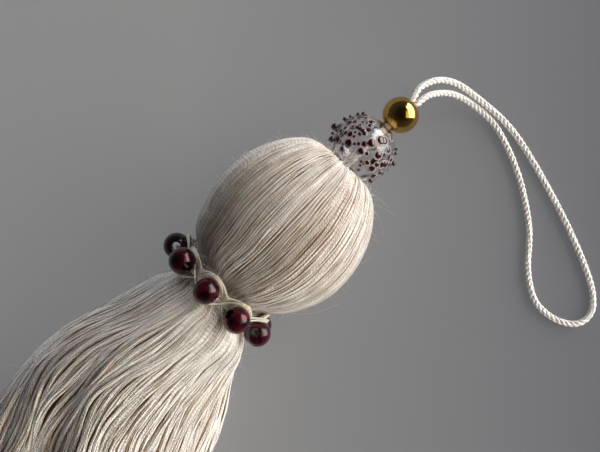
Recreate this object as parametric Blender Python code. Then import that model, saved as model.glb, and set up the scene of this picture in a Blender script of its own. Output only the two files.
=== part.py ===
"""A cotton tassel with a beaded neck and a twisted hanging loop, lying on its side.

The floor is z = 0. +X runs along the head towards the hanging loop, and the
origin is the middle of the flat spot that the head rests on. The sizes below
are millimetres, and MM turns them to metres when a mesh is finished.
"""

import math

import bmesh
import bpy
from mathutils import Matrix, Vector

MM = 0.001

# Head: the threads are doubled over the core and tied into a ribbed bulb.
HEAD_RIBS = 44
RIB_HEIGHT = 0.34
RIB_FULL_RADIUS = 11.0
# along, radius: from the bottom of the top dimple round the bulb to the tied neck
HEAD_PROFILE = (
    (21.2, 3.2),
    (23.2, 6.8),
    (23.8, 9.0),
    (22.7, 12.2),
    (19.9, 15.4),
    (15.6, 18.5),
    (9.8, 21.1),
    (3.0, 22.5),
    (-4.2, 22.3),
    (-10.8, 20.4),
    (-15.4, 18.2),
    (-18.0, 16.1),
    (-19.6, 14.0),
    (-21.4, 12.5),
    (-23.6, 12.2),
    (-27.6, 12.4),
)
DIMPLE_BOTTOM = 21.0
# along, aside, height: the centre line of the head and neck
CENTRE_LINE = (
    (24.0, 0.0, 21.8),
    (-8.0, 0.0, 21.8),
    (-20.5, 1.5, 21.3),
    (-25.1, 1.8, 21.1),
    (-31.0, 1.4, 20.6),
)
TILT_STARTS, TILT_FULL = -8.0, -21.0

# Skirt: cut threads in locks, which fall to the floor and lie there, fanned out.
LOCKS_ACROSS, LOCKS_HIGH = 15, 7
# rows of the table below where every lock has a section, before the one at its own end
LOCK_SECTIONS = (0.0, 0.7, 1.6, 3.0, 5.0)
LOCK_GAP_ROOT, LOCK_GAP_TIP = 0.13, 0.20
LOCK_DRIFT = 0.03
RAGGED_ROWS = 0.45
OUTER_BEND_ROWS = 1.1
WAVE_AT_TIP = 1.6
LANDED_ROW = 3.0
# along, aside, turn (degrees), half width, underside, top: one row for each section
SKIRT = (
    (-31.0, 1.2, -3.0, 13.8, 7.0, 34.6),
    (-37.0, 0.7, 1.0, 17.2, 3.0, 35.8),
    (-45.0, -0.7, 5.0, 21.0, 0.6, 34.8),
    (-57.0, -2.6, 9.0, 25.5, 0.0, 32.0),
    (-72.0, -5.8, 13.0, 31.0, 0.0, 28.5),
    (-88.0, -10.0, 17.0, 34.5, 0.0, 25.0),
    (-104.0, -15.5, 21.0, 36.5, 0.0, 22.0),
    (-119.0, -21.8, 24.0, 38.0, 0.0, 19.5),
    (-133.0, -28.5, 26.0, 39.0, 0.0, 17.0),
)

# Neck: nine lacquered beads in a ring, held in the eyes of a figure-of-eight binding.
NECK = Vector((-25.1, 1.8, 21.1))
NECK_BEADS = 9
NECK_BEAD_RING = 16.85
NECK_BEAD_RADIUS = 3.75
NECK_BEAD_HALF_LENGTH = 3.45
NECK_BEAD_BORE = 1.35
FIRST_BEAD_ANGLE = math.radians(-86)
TILT_OVER_TOP, TILT_OVER_SIDE = 0.9, 1.0
BAND_WIDTH, BAND_THICKNESS = 1.24, 0.6
BAND_SWING = 4.75
BAND_RADIUS, BAND_CLIMB, BAND_OVER_UNDER = 13.8, 1.65, 0.50
BAND_STEPS = 162

# Glass bead with raised dots, strung above the head.
GLASS = Vector((31.3, -0.8, 20.6))
GLASS_RADIUS = 9.1
GLASS_BORE = 2.0
DOT_SINK = 0.35
# along, aside, radius: the raised dots of the upper half, measured from the bead's centre
TOP_DOTS = (
    (-2.6, 7.9, 1.00),
    (-5.9, 6.3, 0.95),
    (1.0, 8.0, 0.80),
    (-1.2, 6.5, 0.70),
    (-3.6, 4.1, 0.70),
    (-5.3, 3.0, 0.95),
    (2.9, 6.2, 0.85),
    (1.5, 3.6, 0.60),
    (-0.2, 3.2, 0.80),
    (-2.0, -0.4, 0.75),
    (-4.3, 0.0, 0.85),
    (0.2, -0.7, 1.00),
    (3.3, -1.5, 1.30),
    (6.4, -2.5, 0.85),
    (3.7, -4.5, 0.75),
    (-0.9, -4.9, 1.10),
    (-4.0, -6.2, 0.90),
    (-1.6, -7.6, 0.85),
    (3.9, -6.9, 0.80),
    (-5.4, -4.5, 0.70),
)
UNDER_DOTS = 12
CLEAR_OF_BORE, CLEAR_OF_HEAD = 0.90, 0.55
UNDER_DOT_RADII = (0.95, 0.70, 0.85)

# Brass bead above the glass one.
BRASS = Vector((45.9, -2.2, 18.7))
BRASS_RADIUS = 5.2
BRASS_BORE = 1.9
STRUNG_AXIS = (BRASS - GLASS).normalized()

# Cord: doubled through both beads, then a free loop that drops to the floor.
CORE_RADIUS = 1.55
CORE_CLEARANCE = 0.9
CORD_RADIUS = 1.0
CORD_END_RADIUS = 0.72
CORD_LAY = 5.0
STEPS_PER_LAY = 6
CORD_STRANDS = 3
STRAND_VALLEY = 0.80
MOUTH_TAPER = 6.0
# along, aside, height: the free loop, from one side of the brass bead's hole to the other
LOOP_ROUTE = (
    (51.5, -1.7, 17.9),
    (55.2, -0.9, 16.8),
    (58.4, -1.6, 15.2),
    (61.6, -3.2, 12.8),
    (64.3, -5.9, 10.2),
    (66.1, -9.4, 7.8),
    (67.2, -13.6, 5.6),
    (68.0, -18.6, 3.6),
    (68.6, -24.4, 2.0),
    (68.2, -31.0, 1.2),
    (66.6, -38.0, 1.15),
    (64.2, -46.0, 1.15),
    (61.4, -54.4, 1.15),
    (58.2, -63.0, 1.15),
    (54.8, -70.9, 1.15),
    (51.6, -77.3, 1.15),
    (48.4, -82.0, 1.15),
    (45.2, -84.7, 1.15),
    (41.9, -85.3, 1.15),
    (38.8, -84.1, 1.15),
    (36.4, -80.9, 1.15),
    (35.0, -76.4, 1.15),
    (35.2, -70.8, 1.15),
    (37.9, -65.7, 1.15),
    (41.7, -61.3, 1.15),
    (46.2, -57.6, 1.15),
    (50.2, -53.9, 1.15),
    (54.2, -49.0, 1.15),
    (58.2, -43.2, 1.15),
    (61.4, -37.4, 1.15),
    (63.9, -31.6, 1.2),
    (65.7, -25.8, 1.5),
    (66.0, -20.6, 2.4),
    (65.3, -16.2, 4.0),
    (64.2, -12.6, 6.2),
    (62.4, -9.2, 9.0),
    (59.6, -6.4, 12.0),
    (55.8, -4.2, 15.6),
    (51.5, -3.5, 17.8),
)

# base colour, roughness, metallic
FINISHES = {
    "cotton_thread": ((0.72, 0.64, 0.54, 1.0), 0.85, 0.0),
    "binding_thread": ((0.80, 0.70, 0.55, 1.0), 0.75, 0.0),
    "cotton_cord": ((0.80, 0.77, 0.72, 1.0), 0.85, 0.0),
    "burgundy_lacquer": ((0.10, 0.006, 0.015, 1.0), 0.15, 0.0),
    "dotted_glass": ((0.62, 0.55, 0.55, 1.0), 0.05, 0.0),
    "polished_brass": ((0.78, 0.56, 0.20, 1.0), 0.12, 1.0),
}


def clear_scene():
    for thing in list(bpy.data.objects):
        bpy.data.objects.remove(thing, do_unlink=True)


def finish_of(name):
    """The Principled material of this name, made once."""
    material = bpy.data.materials.get(name)
    if material is None:
        colour, roughness, metallic = FINISHES[name]
        material = bpy.data.materials.new(name)
        material.use_nodes = True
        shader = material.node_tree.nodes["Principled BSDF"]
        shader.inputs["Base Color"].default_value = colour
        shader.inputs["Roughness"].default_value = roughness
        shader.inputs["Metallic"].default_value = metallic
    return material


def new_object(name, mesh, finish):
    node = bpy.data.objects.new(name, mesh)
    bpy.context.scene.collection.objects.link(node)
    if not mesh.materials:
        mesh.materials.append(finish_of(finish))
    return node


def mesh_from(name, shape):
    """Closes a bmesh drawn in millimetres into a smooth mesh in metres, facing out."""
    bmesh.ops.recalc_face_normals(shape, faces=shape.faces)
    shape.transform(Matrix.Scale(MM, 4))
    mesh = bpy.data.meshes.new(name)
    shape.to_mesh(mesh)
    shape.free()
    mesh.shade_smooth()
    mesh.set_sharp_from_angle(angle=math.radians(50))
    return mesh


def smoothstep(start, end, value):
    part = min(1.0, max(0.0, (value - start) / (end - start)))
    return part * part * (3.0 - 2.0 * part)


def mixed(first, second, share):
    return first + (second - first) * share


def row_at(rows, place):
    """The row at a fractional place in a table, on a smooth curve through its rows."""
    before = min(max(int(place), 0), len(rows) - 2)
    share = place - before
    r0 = rows[max(before - 1, 0)]
    r1, r2 = rows[before], rows[before + 1]
    r3 = rows[min(before + 2, len(rows) - 1)]
    values = []
    for a, b, c, d in zip(r0, r1, r2, r3):
        slope_in, slope_out = (c - a) / 2, (d - b) / 2
        bend = slope_in + slope_out - 2 * (c - b)
        lift = 3 * (c - b) - 2 * slope_in - slope_out
        values.append(b + share * (slope_in + share * (lift + share * bend)))
    return values


def centre_at(along):
    """Point of the centre line at this distance along the head."""
    for (x0, y0, z0), (x1, y1, z1) in zip(CENTRE_LINE, CENTRE_LINE[1:]):
        if along >= x1 or x1 == CENTRE_LINE[-1][0]:
            share = smoothstep(x0, x1, along)
            return Vector((along, mixed(y0, y1, share), mixed(z0, z1, share)))


def tilt_at(angle, radius):
    """How far the tied neck leans along the head at this angle round it."""
    lean = TILT_OVER_TOP * math.cos(angle) + TILT_OVER_SIDE * math.sin(angle)
    return -lean * radius / NECK_BEAD_RING


def round_neck(along_offset, radius, angle):
    """Point on the leaning neck; the angle runs from straight up towards -Y."""
    return NECK + Vector(
        (
            along_offset + tilt_at(angle, radius),
            -radius * math.sin(angle),
            radius * math.cos(angle),
        )
    )


def skirt_point(across, up, place):
    """Point of the skirt: across and up run from -1 to 1 in the section at this row."""
    along, aside, turn, half_width, underside, top = row_at(SKIRT, place)
    turn = math.radians(turn)
    disc_side = across * math.sqrt(1 - up * up / 2)
    disc_high = up * math.sqrt(1 - across * across / 2)
    # A round section at the neck settles into a low crown with a level underside.
    settled = smoothstep(0.0, LANDED_ROW, place) * (1 - math.sqrt(1 - disc_side**2))
    high = (disc_high + 1 - settled) / 2
    side = disc_side * half_width
    height = underside + high * (top - underside)
    wave = WAVE_AT_TIP * place / (len(SKIRT) - 1)
    side += wave * math.sin(1.9 * place + 1.3 * across + 0.8 * up)
    return Vector((along - side * math.sin(turn), aside + side * math.cos(turn), height))


def cell_edges(index, count):
    return -1 + 2 * index / count, -1 + 2 * (index + 1) / count


def lock_corners(column, row, place):
    """The four corners of one lock's section, inside its own cell."""
    left, right = cell_edges(column, LOCKS_ACROSS)
    low, high = cell_edges(row, LOCKS_HIGH)
    tip_share = place / (len(SKIRT) - 1)
    gap = mixed(LOCK_GAP_ROOT, LOCK_GAP_TIP, tip_share)
    gap_across, gap_up = (right - left) * gap, (high - low) * gap
    middle_across, middle_up = (left + right) / 2, (low + high) / 2
    calm = (1 - middle_across**2) * (1 - middle_up**2)
    drift = LOCK_DRIFT * calm * smoothstep(0.0, 2.0, place)
    shift = drift * (right - left) * math.sin(2.3 * column + 1.7 * row + 2.1 * place)
    lift = drift * (high - low) * math.cos(1.9 * column + 2.9 * row + 1.6 * place)
    bottom = low + gap_up + lift
    if row == 0:
        bottom = mixed(bottom, low, smoothstep(0.5, LANDED_ROW, place))
    side_a, side_b = left + gap_across + shift, right - gap_across + shift
    ceiling = high - gap_up + lift
    corners = ((side_a, bottom), (side_b, bottom), (side_b, ceiling), (side_a, ceiling))
    return [skirt_point(across, up, place) for across, up in corners]


def rim_cells():
    """Grid corners round the edge of the cap, in order of the angle round the neck."""
    last_column, last_row = LOCKS_ACROSS, LOCKS_HIGH
    rim = [(i, last_row) for i in range(last_column, 0, -1)]
    rim += [(0, j) for j in range(last_row, 0, -1)]
    rim += [(i, 0) for i in range(last_column)]
    rim += [(last_column, j) for j in range(last_row)]
    return rim


def rim_angle(corner):
    across = -1 + 2 * corner[0] / LOCKS_ACROSS
    up = -1 + 2 * corner[1] / LOCKS_HIGH
    side = across * math.sqrt(1 - up * up / 2)
    high = up * math.sqrt(1 - across * across / 2)
    return math.atan2(-side, high)


def rib_angles():
    """Angles of the valleys and crests at the neck, where each crest meets a lock."""
    valleys = [rim_angle(corner) for corner in rim_cells()]
    for i in range(1, len(valleys)):
        if valleys[i] < valleys[i - 1]:
            valleys[i] += 2 * math.pi
    angles = []
    for i, valley in enumerate(valleys):
        following = valleys[i + 1] if i + 1 < len(valleys) else valleys[0] + 2 * math.pi
        angles += [valley, (valley + following) / 2]
    return angles


def head_ring(shape, along, radius, neck_angles):
    """One ribbed ring of the bulb, flattened where it meets the floor."""
    count = 2 * HEAD_RIBS
    centre = centre_at(along)
    at_neck = smoothstep(TILT_STARTS, TILT_FULL, along)
    rib = RIB_HEIGHT * min(1.0, radius / RIB_FULL_RADIUS)
    ring = []
    for i in range(count):
        even_angle = neck_angles[0] + 2 * math.pi * i / count
        angle = mixed(even_angle, neck_angles[i], at_neck)
        crest = rib * (0.75 + 0.25 * math.sin(2.7 * i)) if i % 2 else -rib
        reach = radius + crest
        point = centre + Vector((0, -reach * math.sin(angle), reach * math.cos(angle)))
        point.x += at_neck * tilt_at(angle, radius)
        point.z = max(point.z, 0.0)
        ring.append(shape.verts.new(point))
    return ring


def bridge(shape, first, second):
    count = len(first)
    for i in range(count):
        j = (i + 1) % count
        shape.faces.new((first[i], first[j], second[j], second[i]))


def make_bundle():
    """Head and skirt are one set of threads: a ribbed bulb whose cap carries the locks."""
    shape = bmesh.new()
    neck_angles = rib_angles()
    rings = [head_ring(shape, along, radius, neck_angles) for along, radius in HEAD_PROFILE]
    for first, second in zip(rings, rings[1:]):
        bridge(shape, first, second)
    dimple = shape.verts.new(centre_at(DIMPLE_BOTTOM))
    for i, vert in enumerate(rings[0]):
        shape.faces.new((dimple, vert, rings[0][(i + 1) % len(rings[0])]))

    grid = {}
    for i in range(LOCKS_ACROSS + 1):
        for j in range(LOCKS_HIGH + 1):
            across, up = -1 + 2 * i / LOCKS_ACROSS, -1 + 2 * j / LOCKS_HIGH
            grid[i, j] = shape.verts.new(skirt_point(across, up, 0.0))
    rim = [grid[corner] for corner in rim_cells()]
    last = rings[-1]
    for j in range(len(rim)):
        valley, crest = last[2 * j], last[2 * j + 1]
        next_valley, next_rim = last[(2 * j + 2) % len(last)], rim[(j + 1) % len(rim)]
        shape.faces.new((valley, crest, rim[j]))
        shape.faces.new((crest, next_valley, next_rim))
        shape.faces.new((crest, next_rim, rim[j]))

    for i in range(LOCKS_ACROSS):
        for j in range(LOCKS_HIGH):
            cell = [grid[i, j], grid[i + 1, j], grid[i + 1, j + 1], grid[i, j + 1]]
            add_lock(shape, cell, i, j)
    bundle = mesh_from("bundle", shape)
    return new_object("bundle", bundle, "cotton_thread")


def add_lock(shape, cell, column, row):
    """One lock grows out of its cell; threads round the outside of the bend end sooner."""
    ragged = RAGGED_ROWS * (0.5 + 0.5 * math.sin(5.1 * column + 3.7 * row))
    end = len(SKIRT) - 1 - ragged - OUTER_BEND_ROWS * column / (LOCKS_ACROSS - 1)
    before = cell
    for place in (*LOCK_SECTIONS, end):
        corners = lock_corners(column, row, place)
        section = [shape.verts.new(corner) for corner in corners]
        add_lock_stretch(shape, before, section)
        before = section
    shape.faces.new(before)


def add_lock_stretch(shape, before, section):
    """Four twisted sides, split so that the facing sides of two neighbours stay parallel."""
    for side in range(4):
        following = (side + 1) % 4
        near, far = (before[side], before[following]), (section[side], section[following])
        if side < 2:
            shape.faces.new((near[0], near[1], far[1]))
            shape.faces.new((near[0], far[1], far[0]))
        else:
            shape.faces.new((near[0], near[1], far[0]))
            shape.faces.new((near[1], far[1], far[0]))


def turned_mesh(name, outline, steps):
    """Turns a closed outline of (along, radius) points about the X axis."""
    shape = bmesh.new()
    verts = [shape.verts.new((along, 0.0, radius)) for along, radius in outline]
    edges = [
        shape.edges.new((verts[i], verts[(i + 1) % len(verts)])) for i in range(len(verts))
    ]
    bmesh.ops.spin(
        shape,
        geom=verts + edges,
        axis=(1, 0, 0),
        cent=(0, 0, 0),
        angle=2 * math.pi,
        steps=steps,
        use_merge=True,
    )
    bmesh.ops.remove_doubles(shape, verts=shape.verts, dist=1e-4)
    return mesh_from(name, shape)


def bead_outline(radius, half_length, bore, arc_points):
    """Half section of a round bead, rounded to a flat at each end of its bore."""
    edge = half_length * math.sqrt(1 - (bore / radius) ** 2)
    start = math.atan2(bore / radius, edge / half_length)
    outline = []
    for i in range(arc_points + 1):
        turn = mixed(start, math.pi - start, i / arc_points)
        outline.append((half_length * math.cos(turn), radius * math.sin(turn)))
    return outline


def turned_to(axis):
    return axis.to_track_quat("X", "Z")


def make_neck_beads():
    outline = bead_outline(NECK_BEAD_RADIUS, NECK_BEAD_HALF_LENGTH, NECK_BEAD_BORE, 6)
    mesh = turned_mesh("neck_bead", outline, 14)
    for i in range(NECK_BEADS):
        angle = FIRST_BEAD_ANGLE + 2 * math.pi * i / NECK_BEADS
        bead = new_object(f"neck_bead_{i + 1}", mesh, "burgundy_lacquer")
        bead.location = round_neck(0.0, NECK_BEAD_RING, angle) * MM
        tangent = Vector((0, -math.cos(angle), -math.sin(angle)))
        bead.rotation_mode = "QUATERNION"
        bead.rotation_quaternion = turned_to(tangent)


def band_centre(turn):
    """The binding swings from side to side between beads and crosses itself in each gap."""
    swing = NECK_BEADS / 2 * turn
    angle = FIRST_BEAD_ANGLE + math.pi / NECK_BEADS + turn
    climb = BAND_CLIMB * math.sin(swing) ** 2
    radius = BAND_RADIUS + climb + BAND_OVER_UNDER * math.cos(swing)
    return round_neck(BAND_SWING * math.sin(swing), radius, angle)


def make_binding():
    """One flat band of threads, twice round the neck in a figure of eight."""
    shape = bmesh.new()
    rings = []
    full_turn = 4 * math.pi
    small = full_turn / BAND_STEPS / 8
    for i in range(BAND_STEPS):
        turn = full_turn * i / BAND_STEPS
        middle = band_centre(turn)
        tangent = (band_centre(turn + small) - band_centre(turn - small)).normalized()
        outward = Vector((0, middle.y - NECK.y, middle.z - NECK.z)).normalized()
        sideways = tangent.cross(outward).normalized()
        outward = sideways.cross(tangent)
        half_width, half_thick = sideways * BAND_WIDTH / 2, outward * BAND_THICKNESS / 2
        corners = (
            middle - half_width - half_thick,
            middle + half_width - half_thick,
            middle + half_width + half_thick,
            middle - half_width + half_thick,
        )
        rings.append([shape.verts.new(corner) for corner in corners])
    for i in range(BAND_STEPS):
        bridge(shape, rings[i], rings[(i + 1) % BAND_STEPS])
    band = mesh_from("neck_binding", shape)
    new_object("neck_binding", band, "binding_thread")


def dot_places():
    """(direction, radius) of every raised dot: a chosen upper side, an even under side."""
    places = []
    for along, aside, radius in TOP_DOTS:
        rise = math.sqrt(max(0.0, GLASS_RADIUS**2 - along**2 - aside**2))
        places.append((Vector((along, aside, rise)).normalized(), radius))
    golden_turn = math.pi * (3 - math.sqrt(5))
    for i in range(UNDER_DOTS):
        drop = 0.25 + 0.7 * (i + 0.5) / UNDER_DOTS
        reach = math.sqrt(1 - drop * drop)
        along, aside = reach * math.cos(golden_turn * i), reach * math.sin(golden_turn * i)
        radius = UNDER_DOT_RADII[i % len(UNDER_DOT_RADII)]
        direction = Vector((along, aside, -drop))
        if -CLEAR_OF_HEAD < direction.dot(STRUNG_AXIS) < CLEAR_OF_BORE:
            places.append((direction, radius))
    return places


def make_glass_bead():
    """A blown round bead, with dots of coloured glass melted on so that they stand proud."""
    outline = bead_outline(GLASS_RADIUS, GLASS_RADIUS, GLASS_BORE, 10)
    bead = new_object("glass_bead", turned_mesh("glass_bead", outline, 22), "dotted_glass")
    bead.rotation_mode = "QUATERNION"
    bead.rotation_quaternion = turned_to(STRUNG_AXIS)
    bead.location = GLASS * MM

    shape = bmesh.new()
    for direction, radius in dot_places():
        middle = GLASS + direction * (GLASS_RADIUS - DOT_SINK * radius)
        turned = direction.to_track_quat("Z", "X").to_matrix().to_4x4()
        bmesh.ops.create_uvsphere(
            shape,
            u_segments=7,
            v_segments=5,
            radius=radius,
            matrix=Matrix.Translation(middle) @ turned,
        )
    dots = new_object("glass_dots", mesh_from("glass_dots", shape), "dotted_glass")
    dots.hide_render = True
    dots.display_type = "WIRE"
    union = bead.modifiers.new("raised dots", "BOOLEAN")
    union.operation = "UNION"
    union.solver = "EXACT"
    union.object = dots


def make_brass_bead():
    outline = bead_outline(BRASS_RADIUS, BRASS_RADIUS, BRASS_BORE, 9)
    bead = new_object("brass_bead", turned_mesh("brass_bead", outline, 18), "polished_brass")
    bead.rotation_mode = "QUATERNION"
    bead.rotation_quaternion = turned_to(STRUNG_AXIS)
    bead.location = BRASS * MM


def carried_frames(points):
    """(point, side, up) along a route, turning no more than the route itself does."""
    frames = []
    up = Vector((0, 0, 1))
    for i, point in enumerate(points):
        ahead = points[min(i + 1, len(points) - 1)] - points[max(i - 1, 0)]
        tangent = ahead.normalized()
        up = (up - tangent * up.dot(tangent)).normalized()
        frames.append((point, tangent.cross(up), up))
    return frames


def even_points(route, step):
    """Points at even steps along a smooth curve through the route's points."""
    finest = 40
    dense = [
        Vector(row_at(route, i / finest)) for i in range((len(route) - 1) * finest + 1)
    ]
    lengths = [0.0]
    for a, b in zip(dense, dense[1:]):
        lengths.append(lengths[-1] + (b - a).length)
    count = round(lengths[-1] / step)
    points, j = [], 0
    for i in range(count + 1):
        wanted = lengths[-1] * i / count
        while j < len(dense) - 2 and lengths[j + 1] < wanted:
            j += 1
        share = (wanted - lengths[j]) / (lengths[j + 1] - lengths[j])
        points.append(dense[j].lerp(dense[j + 1], share))
    return points


def close_tube(shape, sections):
    for first, second in zip(sections, sections[1:]):
        bridge(shape, first, second)
    shape.faces.new(sections[0])
    shape.faces.new(sections[-1])


def make_core_cord():
    """The doubled cord where it runs inside both beads, straight from the head up."""
    start = centre_at(DIMPLE_BOTTOM) + Vector((CORE_CLEARANCE, 0, 0))
    inner = GLASS - STRUNG_AXIS * (GLASS_RADIUS - 0.6)
    end = BRASS + STRUNG_AXIS * (BRASS_RADIUS - 0.6)
    route = [start, inner, end]
    shape = bmesh.new()
    sections = []
    for point, side, up in carried_frames(route):
        ring = []
        for i in range(10):
            angle = 2 * math.pi * i / 10
            offset = side * math.cos(angle) + up * math.sin(angle)
            ring.append(shape.verts.new(point + offset * CORE_RADIUS))
        sections.append(ring)
    close_tube(shape, sections)
    new_object("core_cord", mesh_from("core_cord", shape), "cotton_cord")


def make_hang_loop():
    """A three-strand cord: its section has three lobes, which wind along the route."""
    step = CORD_LAY / STEPS_PER_LAY
    points = even_points(LOOP_ROUTE, step)
    shape = bmesh.new()
    sections = []
    corners = 2 * CORD_STRANDS
    for i, (point, side, up) in enumerate(carried_frames(points)):
        to_mouth = min(i, len(points) - 1 - i) * step
        radius = mixed(CORD_END_RADIUS, CORD_RADIUS, smoothstep(0.0, MOUTH_TAPER, to_mouth))
        ring = []
        for corner in range(corners):
            # The strands lean the way the middle stroke of a Z does.
            angle = 2 * math.pi * (corner / corners - i / STEPS_PER_LAY)
            reach = radius * STRAND_VALLEY if corner % 2 else radius
            offset = side * math.cos(angle) + up * math.sin(angle)
            ring.append(shape.verts.new(point + offset * reach))
        sections.append(ring)
    close_tube(shape, sections)
    new_object("hang_loop", mesh_from("hang_loop", shape), "cotton_cord")


clear_scene()
make_bundle()
make_binding()
make_neck_beads()
make_glass_bead()
make_brass_bead()
make_core_cord()
make_hang_loop()
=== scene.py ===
"""The looks of a beaded cotton tassel that lies on its side with its hanging loop slack.

The sections follow the order in which the tassel is put together. Tables are in
millimetres unless they say metres, and MM turns them to metres.
"""

import math

import bmesh
import bpy
import numpy as np
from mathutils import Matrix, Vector


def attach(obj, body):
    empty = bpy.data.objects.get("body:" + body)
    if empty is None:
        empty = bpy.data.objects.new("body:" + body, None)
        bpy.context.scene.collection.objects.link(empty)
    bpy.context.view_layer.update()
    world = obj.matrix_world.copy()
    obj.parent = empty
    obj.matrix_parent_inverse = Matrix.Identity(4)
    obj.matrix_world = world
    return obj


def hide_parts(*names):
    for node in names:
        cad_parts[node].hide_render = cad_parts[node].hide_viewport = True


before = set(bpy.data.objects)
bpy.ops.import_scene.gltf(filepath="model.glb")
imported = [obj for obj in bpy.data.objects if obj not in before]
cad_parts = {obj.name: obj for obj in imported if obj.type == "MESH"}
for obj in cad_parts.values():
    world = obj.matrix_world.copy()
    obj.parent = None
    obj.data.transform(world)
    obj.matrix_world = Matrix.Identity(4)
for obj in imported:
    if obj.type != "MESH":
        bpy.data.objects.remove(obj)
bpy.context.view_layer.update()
MM = 0.001


# Hanging cord. A soft cotton cord of three strands laid in a Z twist, 2 mm thick.
# It is doubled: both ends go down through the brass bead, and from there the free
# loop drops to the floor and lies slack. The first and last rows are in the bore.
CORD_DIAMETER, CORD_LAY = 2.0, 5.0
STRANDS, STRAND_RADIUS, STRAND_STEP = 3, 0.48, 0.42
MOUTH_LENGTH, MOUTH_SHARE = 4.5, 0.68
# along, aside, height in metres
LOOP_ROUTE = (
    (0.0484, -0.0019, 0.0184),
    (0.0515, -0.0017, 0.0179),
    (0.0552, -0.0009, 0.0168),
    (0.0584, -0.0016, 0.0152),
    (0.0616, -0.0032, 0.0128),
    (0.0643, -0.0059, 0.0102),
    (0.0661, -0.0094, 0.0078),
    (0.0672, -0.0136, 0.0056),
    (0.0680, -0.0186, 0.0036),
    (0.0686, -0.0244, 0.0020),
    (0.0682, -0.0310, 0.0012),
    (0.0666, -0.0380, 0.00115),
    (0.0642, -0.0460, 0.00115),
    (0.0614, -0.0544, 0.00115),
    (0.0582, -0.0630, 0.00115),
    (0.0548, -0.0709, 0.00115),
    (0.0516, -0.0773, 0.00115),
    (0.0484, -0.0820, 0.00115),
    (0.0452, -0.0847, 0.00115),
    (0.0419, -0.0853, 0.00115),
    (0.0388, -0.0841, 0.00115),
    (0.0364, -0.0809, 0.00115),
    (0.0350, -0.0764, 0.00115),
    (0.0352, -0.0708, 0.00115),
    (0.0379, -0.0657, 0.00115),
    (0.0417, -0.0613, 0.00115),
    (0.0462, -0.0576, 0.00115),
    (0.0502, -0.0539, 0.00115),
    (0.0542, -0.0490, 0.00115),
    (0.0582, -0.0432, 0.00115),
    (0.0614, -0.0374, 0.00115),
    (0.0639, -0.0316, 0.0012),
    (0.0657, -0.0258, 0.0015),
    (0.0660, -0.0206, 0.0024),
    (0.0653, -0.0162, 0.0040),
    (0.0642, -0.0126, 0.0062),
    (0.0624, -0.0092, 0.0090),
    (0.0596, -0.0064, 0.0120),
    (0.0558, -0.0042, 0.0156),
    (0.0515, -0.0035, 0.0178),
    (0.0484, -0.0029, 0.0182),
)


def linear(hex_colour):
    """An sRGB hex colour as the linear values that a shader takes."""
    parts = [int(hex_colour[i : i + 2], 16) / 255 for i in (1, 3, 5)]
    parts = [p / 12.92 if p <= 0.04045 else ((p + 0.055) / 1.055) ** 2.4 for p in parts]
    return (*parts, 1.0)


def feed(tree, node, inputs):
    """Gives each input a value, or links it from a socket or from a node's first output."""
    for socket, value in inputs.items():
        if isinstance(value, bpy.types.Node):
            value = value.outputs[0]
        if isinstance(value, bpy.types.NodeSocket):
            tree.links.new(value, node.inputs[socket])
        else:
            node.inputs[socket].default_value = value


def add_node(tree, kind, inputs=None, **settings):
    """A new node with these settings, and with its inputs fed."""
    node = tree.nodes.new(kind)
    for name, value in settings.items():
        setattr(node, name, value)
    feed(tree, node, inputs or {})
    return node


def smooth_rows(rows, places):
    """Rows of a table at fractional places, on a smooth curve through the rows."""
    rows = np.asarray(rows, float)
    places = np.asarray(places, float)
    before = np.clip(places.astype(int), 0, len(rows) - 2)
    share = (places - before)[..., None]
    r1, r2 = rows[before], rows[before + 1]
    slope_in = (r2 - rows[np.maximum(before - 1, 0)]) / 2
    slope_out = (rows[np.minimum(before + 2, len(rows) - 1)] - r1) / 2
    bend = slope_in + slope_out - 2 * (r2 - r1)
    lift = 3 * (r2 - r1) - 2 * slope_in - slope_out
    return r1 + share * (slope_in + share * (lift + share * bend))


def unit(vectors):
    """The same directions with a length of one."""
    return vectors / np.linalg.norm(vectors, axis=-1, keepdims=True)


def run_along(points):
    """Distance covered at each point of a line, or of each of several lines."""
    reach = np.linalg.norm(np.diff(points, axis=-2), axis=-1)
    return np.insert(np.cumsum(reach, axis=-1), 0, 0.0, axis=-1)


def even_line(points, step):
    """The same line with points at even steps, as near to the given step as fits."""
    length = run_along(points)
    wanted = np.linspace(0.0, length[-1], round(length[-1] / step) + 1)
    return np.stack([np.interp(wanted, length, points[:, i]) for i in range(3)], axis=1)


def carried_frames(points):
    """Two directions across a line at each point, which turn no more than the line does."""
    up = np.array([0.0, 0.0, 1.0])
    sides, ups = [], []
    for tangent in unit(np.gradient(points, axis=0)):
        up = unit(up - tangent * (up @ tangent))
        sides.append(np.cross(tangent, up))
        ups.append(up)
    return np.array(sides), np.array(ups)


def offset_line(line, frames, turn, reach):
    """The line moved out by reach, at an angle that turns in the frames carried along it."""
    side, up = frames
    away = side * np.cos(turn)[:, None] + up * np.sin(turn)[:, None]
    return line + away * reach[:, None]


def smoothstep(start, end, value):
    """0 before the start, 1 past the end, and a smooth rise between them."""
    part = np.clip((value - start) / (end - start), 0.0, 1.0)
    return part * part * (3 - 2 * part)


def start_tree(name, inputs):
    """A Geometry Nodes tree with these inputs, and the sockets that give them."""
    tree = bpy.data.node_groups.new(name, "GeometryNodeTree")
    tree.is_modifier = True
    for title, kind in inputs:
        tree.interface.new_socket(title, in_out="INPUT", socket_type="NodeSocket" + kind)
    tree.interface.new_socket("Piece", in_out="OUTPUT", socket_type="NodeSocketGeometry")
    return tree, add_node(tree, "NodeGroupInput").outputs


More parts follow.
